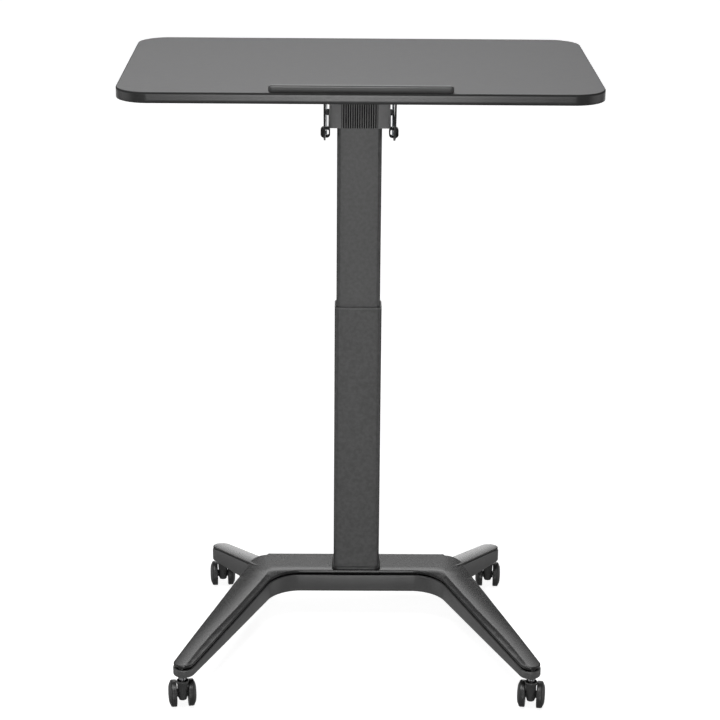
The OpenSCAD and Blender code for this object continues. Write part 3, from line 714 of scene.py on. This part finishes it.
def base_frame():
    bm = bmesh.new()
    skirt_walls(bm, sd_front, FRONT_BOUNDS, top_front, FRONT_GAP)
    for bounds in REAR_BOUNDS:
        skirt_walls(bm, sd_rear, bounds, top_rear, REAR_GAP)
    for sign in (-1, 1):
        for x, y in (FRONT_STEM, REAR_STEM):
            boss(bm, sign * x, y)
        a, b = sorted((sign * 58, sign * 62))
        brick(bm, (a, -27.4, 63), (b, 42.4, 84), 0.4)
    for x0, x1 in ((-165, -62.2), (62.2, 165), (-57.8, 57.8)):
        brick(bm, (x0, 4, 63), (x1, 8, 76), 0.4)
    finish_piece(bm, "base_skirt", "base_coat", "base", ["base_frame"], 45)


# ----------------------------------------------------------- latches, ribs
def prism_y(bm, shape, y0, y1, soft):
    """A shape drawn in X and Z, run from y0 to y1 with softened ends."""
    pts = [Vector(p) for p in shape]
    n = len(pts)

    def inset(k, d):
        a, p, b = pts[k - 1], pts[k], pts[(k + 1) % n]
        u, v = (p - a).normalized(), (b - p).normalized()
        side = Vector((-u.y - v.y, u.x + v.x))
        side = side / max(0.4, side.length_squared / 2)
        return p + side * d

    rings = []
    for y, d in ((y0, soft), (y0 + soft * 0.4, soft * 0.3), (y0 + soft, 0), (y1 - soft, 0),
                 (y1 - soft * 0.4, soft * 0.3), (y1, soft)):
        rings.append(ring_verts(bm, [(q.x, y, q.y) for q in (inset(k, d) for k in range(n))]))
    close_ends(bm, rings)


def arc_points(cx, cz, r, a0, a1, n=7):
    """Points on an arc in X and Z, with its angles in degrees."""
    return [(cx + r * math.cos(math.radians(a0 + (a1 - a0) * k / n)),
             cz + r * math.sin(math.radians(a0 + (a1 - a0) * k / n))) for k in range(n + 1)]


def latch(side):
    """The housing that straddles the quadrant's arc, with its bracket and pivot lugs."""
    s = -1 if side == "left" else 1
    h = HEAD_Z
    z0 = h - 23
    x0, x1, tall, r = 51, 67.6, 18, 5.6
    # round the outside, then back along the window that the quadrant passes
    shape = [(62.4, z0)]
    shape += arc_points(x1 - r, z0 + r, r, -90, 0)
    shape += arc_points(x1 - r, z0 + tall - r, r, 0, 90)
    shape += arc_points(x0 + r, z0 + tall - r, r, 90, 180)
    shape += arc_points(x0 + r, z0 + r, r, 180, 270)
    shape += [(58.6, z0), (58.6, z0 + 3.3)] + arc_points(55.4, z0 + 5.3, 2.0, 270, 180, 4)
    shape += arc_points(55.4, z0 + 12, 2.0, 180, 90, 4) + [(62.4, z0 + 14)]
    if s < 0:
        shape = [(-x, z) for x, z in shape[::-1]]
    bm = bmesh.new()
    prism_y(bm, shape, -21, -7, 0.9)
    a, b = sorted((s * 52.55, s * 54.0))
    brick(bm, (a, -20.8, z0 + 16.4), (b, -7.2, z0 + 48), 0.35)
    for y in (-22.4, -8.6):
        a, b = sorted((s * 52.6, s * 58.3))
        brick(bm, (a, y, h + 17), (b, y + 3, h + 25), 0.9)
    finish_piece(bm, "latch_body_" + side, "latch_plastic", "lift", ["latch_housing_" + side], 40)


def ribs():
    """The ribbed front panel: narrow rounded fins over a backing painted near black, a painted shade for
    the gaps between them.
    """
    h = HEAD_Z
    bm = bmesh.new()
    # the backing between the fins is painted near black as the gaps' shade
    brick(bm, (-31.4, -48.1, h + 0.1), (31.4, -47.5, h + 42.9))
    back = len(bm.faces)
    count, width = 16, 63
    for i in range(count):
        x = -width / 2 + (i + 0.5) * width / count
        fin = [(x - 0.95, -47.6), (x - 0.85, -48.7), (x - 0.45, -48.98), (x + 0.45, -48.98),
               (x + 0.85, -48.7), (x + 0.95, -47.6)]
        close_ends(bm, [ring_verts(bm, [(px, py, z) for px, py in fin])
                        for z in (h + 0.15, h + 42.85)])
    bm.faces.ensure_lookup_table()
    for f in bm.faces[back:]:
        f.material_index = 1
    o = finish_piece(bm, "rib_front", "rib_plastic", "lift", ["rib_panel"], 30, MAT["rib_back"])
    o.data.materials.append(MAT["rib_plastic"])


# ----------------------------------------------------------------- casters
CASTERS = {"fl": (-FRONT_STEM[0], FRONT_STEM[1], 8.5), "fr": (*FRONT_STEM, -8.5),
           "rl": (-REAR_STEM[0], REAR_STEM[1], 5), "rr": (*REAR_STEM, -5)}
TRAIL, WHEEL_R = 12, 23.5   # the axle's offset from the stem, and its height


def local(key):
    """Maps a caster's own axes (across, along its trail, up) to the column's."""
    x, y, yaw = CASTERS[key]
    c, s = math.cos(math.radians(yaw)), math.sin(math.radians(yaw))
    return lambda a, b, z: (x + a * c - b * s, y + a * s + b * c, z)


def wheel_ring(put, x, r, n):
    """A circle about the axle, x across from the caster's middle."""
    turn = [2 * math.pi * k / n for k in range(n)]
    return [put(x, TRAIL + r * math.cos(a), WHEEL_R + r * math.sin(a)) for a in turn]


def caster_body(key):
    """Tapered stem housing with a cupped top, a web to the axle and the axle itself."""
    put = local(key)
    bm = bmesh.new()
    n = 36
    # (radius, height), up the outside, over the cup's rim and down the stem's bore
    section = [(5.4, 17.6), (6.6, 18.2), (7.2, 20), (7.7, 26), (8.3, 34), (8.9, 42), (9.3, 47.2),
               (10.3, 49.5), (10.7, 51.6), (10.6, 53.2), (10.1, 53.9), (9.3, 54), (8.8, 53.4),
               (8.4, 50.6), (4.1, 50.4), (4.1, 34.2)]
    rings = []
    for r, z in section:
        ring = []
        for k in range(n):
            a = 2 * math.pi * k / n
            back = max(0.0, math.sin(a))
            reach = 1.0 if z > 46 or r < 5 else 1.0 + 0.25 * back
            ring.append(put(r * math.cos(a), r * math.sin(a) * reach, z))
        rings.append(ring_verts(bm, ring))
    close_ends(bm, rings)
    # web between the wheels, its sides eased by shrinking the outline
    side = [(4, 18.4), (18, 18.2), (21.6, 21), (21.8, 27), (19.6, 33), (15.5, 40), (9.5, 45.6),
            (4, 47.2)]
    cy = sum(p[0] for p in side) / len(side)
    cz = sum(p[1] for p in side) / len(side)
    half, ease = 8.1, 0.9
    shrunk = 1 - ease / 14
    close_ends(bm, [
        ring_verts(bm, [put(x, cy + (b - cy) * size, cz + (z - cz) * size) for b, z in side])
        for x, size in ((-half, shrunk), (ease - half, 1), (half - ease, 1), (half, shrunk))])
    # axle and its shoulders
    for r, half in ((3.0, 19.0), (6.5, 9.4)):
        close_ends(bm, [
            ring_verts(bm, wheel_ring(put, x, rr, 24))
            for x, rr in ((-half, r - 0.4), (0.4 - half, r), (half - 0.4, r), (half, r - 0.4))])
    finish_piece(bm, "caster_housing_" + key, "caster_plastic", "swivel_" + key, ["caster_" + key], 40)


def wheel(key, side):
    """A domed wheel: tread with a fine groove, rounded shoulders, ringed outer face."""
    put = local(key)
    s = -1 if side == "left" else 1
    prof = [(3.06, 9.6), (9, 9.6), (9.6, 10.0), (14, 10.2), (15.2, 9.8), (21.6, 9.8), (22.9, 10.1),
            (23.4, 10.9), (23.5, 12.0), (23.5, 14.4), (23.25, 14.7), (23.25, 15.1), (23.5, 15.4),
            (23.45, 17.2), (23.1, 18.5), (22.4, 19.6), (21.5, 20.3), (20.9, 20.5), (20.4, 20.3),
            (20.0, 20.6), (18.5, 21.6), (16, 22.7), (12.5, 23.45), (9, 23.75), (8.6, 23.55), (8.2, 23.6),
            (5.5, 23.95), (2.5, 24.0), (0.9, 24.0), (0.9, 20.4), (3.06, 20.1)]
    bm = bmesh.new()
    join_rings(bm, [ring_verts(bm, wheel_ring(put, s * x, r, 72)) for r, x in prof], closed=True)
    name = f"caster_wheel_{key}_{side}"
    finish_piece(bm, name, "wheel_plastic", f"roll_{key}_{side}", [f"wheel_{key}_{side}"], 30)


# ------------------------------------------------------------------- cable
def quarter(centre, a, b, r, n=8):
    """Points on a quarter bend about centre, from direction a to direction b."""
    c, a, b = Vector(centre), Vector(a), Vector(b)
    return [c + r * (a * math.cos(math.pi / 2 * k / n) + b * math.sin(math.pi / 2 * k / n))
            for k in range(n + 1)]


def line(p, q, step=4.0):
    p, q = Vector(p), Vector(q)
    n = max(1, int((q - p).length / step))
    return [p + (q - p) * (k / n) for k in range(n + 1)]


def cable():
    """One release cable from the rocker, out past the tilt hinge, to the hand lever."""
    h = HEAD_Z
    z = DESK_BOT - 2.6          # the cable's centre line under the top
    runs = [
        line((36, HINGE_Y, h + 37), (36, HINGE_Y, h + 50)),
        quarter((36, 14, h + 50), (0, -1, 0), (0, 0, 1), 9),
        line((36, 14, h + 59), (36, 17, h + 59)),
        quarter((45, 17, h + 59), (-1, 0, 0), (0, 1, 0), 9),
        line((45, 26, h + 59), (70, 26, h + 59), 1.5),
        quarter((70, 26, h + 68), (0, 0, -1), (1, 0, 0), 9),
        line((79, 26, h + 68), (79, 26, z - 9)),
        quarter((79, 17, z - 9), (0, 1, 0), (0, 0, 1), 9),
        line((79, 17, z), (79, -45, z)),
        quarter((88, -45, z), (-1, 0, 0), (0, -1, 0), 9),
        line((88, -54, z), (218, -54, z)),
        quarter((218, -63, z), (0, 1, 0), (1, 0, 0), 9),
        line((227, -63, z), (227, -91, z)),
        quarter((236, -91, z), (-1, 0, 0), (0, -1, 0), 9),
        line((236, -100, z), (237, -100, z)),
        quarter((237, -100, z - 5), (0, 0, 1), (1, 0, 0), 5, 6),
        quarter((247, -100, z - 5.4), (-1, 0, 0), (0, 0, -1), 5, 6),
        line((247, -100, z - 10.4), (253, -100, z - 10.4)),
    ]
    path = []
    for run in runs:
        for p in run:
            if not path or (p - path[-1]).length > 0.05:
                path.append(p)
    bm = bmesh.new()
    sweep_tube(bm, path, 2.0)
    o = finish_piece(bm, "release_cable", "cable_sheath", None, ["cable_under_top", "cable_in_head"])
    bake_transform(o)


# -------------------------------------------------------------------- build
desktop()
stop()
columns()
for key in CASTERS:
    caster_body(key)
    for side in ("left", "right"):
        wheel(key, side)
cable()
base_cover()
base_frame()
latch("left")
latch("right")
ribs()

# CAD nodes that stay, with their slot and the width of their eased edges in mm
KEPT = {
    "tilt_frame": ("bracket_coat", 0.3), "quadrant_left": ("bracket_coat", 0.3),
    "quadrant_right": ("bracket_coat", 0.3), "lever_bracket": ("bracket_coat", 0.3),
    "lever_pin": ("bright_steel", 0.4), "top_fasteners": ("fastener_black", 0.3),
    "release_lever": ("latch_plastic", 1.2), "cable_clips": ("latch_plastic", 0.5),
    "head_shell": ("head_plastic", 0.8),
    "head_side_screws": ("fastener_black", 0.5), "head_plate": ("raw_steel", 0.4),
    "tilt_yoke": ("bracket_coat", 0.4), "head_fasteners": ("raw_steel", 0.3),
    "hinge_pin": ("bright_steel", 0.5), "rest_block": ("cable_sheath", 0.6),
    "latch_pins": ("bright_steel", 0.3), "brake_lever_left": ("zinc_strip", 0.2),
    "brake_lever_right": ("zinc_strip", 0.2), "release_rocker": ("zinc_strip", 0.3),
    "release_pin": ("bright_steel", 0.3), "gas_rod": ("bright_steel", 0.3),
    "gas_piston": ("latch_plastic", 0.4), "glide_shoe": ("glide_plastic", 0.4),
    "gas_cylinder": ("spring_coat", 0.4), "cylinder_gland": ("raw_steel", 0.3),
    "foot_plate": ("raw_steel", 0.4), "foot_bolts": ("raw_steel", 0.3),
    "stem_sockets": ("latch_plastic", 0.4),
    "stem_fl": ("bright_steel", 0.5), "stem_fr": ("bright_steel", 0.5),
    "stem_rl": ("bright_steel", 0.5), "stem_rr": ("bright_steel", 0.5),
}
for node, (slot, width) in KEPT.items():
    soften(node, slot, width)

# ------------------------------------------------------------- stage, light
scene = bpy.context.scene
scene.view_settings.view_transform = "Standard"
scene.view_settings.look = "None"

world = bpy.data.worlds.new("studio")
scene.world = world
world.use_nodes = True
wt = world.node_tree
wt.nodes.clear()
coord = add(wt, "ShaderNodeTexCoord")
split = add(wt, "ShaderNodeSeparateXYZ")
wt.links.new(coord.outputs["Generated"], split.inputs["Vector"])


def calc(kind, *values):
    """A Math node in the world's tree on sockets or numbers."""
    n = add(wt, "ShaderNodeMath", p_operation=kind)
    for socket, value in zip(n.inputs, values):
        if isinstance(value, (int, float)):
            socket.default_value = value
        else:
            wt.links.new(value, socket)
    return n.outputs[0]


X, Y, Z = (split.outputs[k] for k in "XYZ")
ax = calc("ABSOLUTE", X)
# behind and above: a bright horizon, a dark band, then one narrow overhead softbox
up = ramp(wt, Z, [(0.0, 1.9), (0.10, 3.0), (0.19, 3.0), (0.26, 0.3), (0.36, 0.12), (0.42, 0.2),
                  (0.52, 4.2), (0.57, 4.0), (0.64, 0.5), (0.74, 0.14)])
up_side = ramp(wt, ax, [(0.0, 1.0), (0.08, 0.95), (0.18, 0.4), (0.34, 0.1), (0.8, 0.1), (0.96, 0.55)])
behind = calc("MULTIPLY", up, up_side)
# below and in front: a narrow panel that fades sideways and downwards
depth = calc("MULTIPLY", Z, -1.0)
down = ramp(wt, depth, [(0.1, 1.0), (0.2, 1.0), (0.26, 0.3), (0.34, 0.07), (0.46, 0.0)])
down_side = ramp(wt, ax, [(0.0, 10.0), (0.05, 4.6), (0.1, 1.1), (0.15, 0.2), (0.25, 0.0)])
toward = spread(wt, Y, 1.0, 0.0, -0.5, 0.0)
front = calc("MULTIPLY", down, calc("MULTIPLY", down_side, toward))
# faint panels at both sides and behind, for the other views
sides = spread(wt, ax, 0.05, 0.75, 0.8, 0.98)
rear = spread(wt, Y, 0.0, 0.5, 0.4, 0.9)
low = calc("ADD", front, calc("ADD", sides, rear))
is_up = spread(wt, Z, 0.0, 1.0, -0.04, 0.0)
final_value = calc("ADD", calc("MULTIPLY", is_up, behind),
                   calc("MULTIPLY", calc("SUBTRACT", 1.0, is_up), low))
# the lights above shape the reflections, and the backdrop itself is plain white
out = add(wt, "ShaderNodeBackground")
plain = add(wt, "ShaderNodeBackground", Color=(1, 1, 1, 1), Strength=1.0)
seen = add(wt, "ShaderNodeLightPath")
either = add(wt, "ShaderNodeMixShader")
final = add(wt, "ShaderNodeOutputWorld")
wt.links.new(final_value, out.inputs["Color"])
wt.links.new(seen.outputs["Is Camera Ray"], either.inputs[0])
wt.links.new(out.outputs[0], either.inputs[1])
wt.links.new(plain.outputs[0], either.inputs[2])
wt.links.new(either.outputs[0], final.inputs["Surface"])

fm, ft, fs = new_material("floor")
fl = noise(ft, 3, 3)
paper = mix(ft, spread(ft, fl, 0.0, 1.0), (0.5, 0.5, 0.5), (0.53, 0.53, 0.53))
ft.links.new(paper, fs.inputs["Base Color"])
fs.inputs["Emission Color"].default_value = (1, 1, 1, 1)
fs.inputs["Emission Strength"].default_value = 0.88
fs.inputs["Roughness"].default_value = 0.9
fs.inputs["Specular IOR Level"].default_value = 0.1
bm = bmesh.new()
bmesh.ops.create_grid(bm, x_segments=4, y_segments=4, size=14)
me = bpy.data.meshes.new("floor")
bm.to_mesh(me)
bm.free()
me.materials.append(fm)
floor = bpy.data.objects.new("floor", me)
scene.collection.objects.link(floor)
floor.visible_glossy = False


light = bpy.data.lights.new("key_top", "AREA")
light.shape = "RECTANGLE"
light.size, light.size_y = 2.6, 1.6
light.energy = 95
key_top = bpy.data.objects.new("key_top", light)
scene.collection.objects.link(key_top)
key_top.location = (-0.5, -1.0, 3.4)
key_top.rotation_mode = "QUATERNION"
key_top.rotation_quaternion = (Vector((0, 0.1, 0.8)) - key_top.location).to_track_quat("-Z", "Y")
key_top.visible_camera = False

# ------------------------------------------------------------------- camera
cam_data = bpy.data.cameras.new("camera")
cam_data.sensor_width = 36.0
cam_data.lens = 103.5707
camera = bpy.data.objects.new("camera", cam_data)
scene.collection.objects.link(camera)
camera.matrix_world = (
    Matrix.Translation((-0.03178, -3.471866, 1.722442))
    @ Matrix.Rotation(math.radians(-0.583), 4, "Z")
    @ Matrix.Rotation(math.radians(-18.9677), 4, "X")
    @ Matrix.Rotation(math.radians(-0.485273), 4, "Y")
    @ Matrix.Rotation(math.radians(90), 4, "X")
)
scene.camera = camera
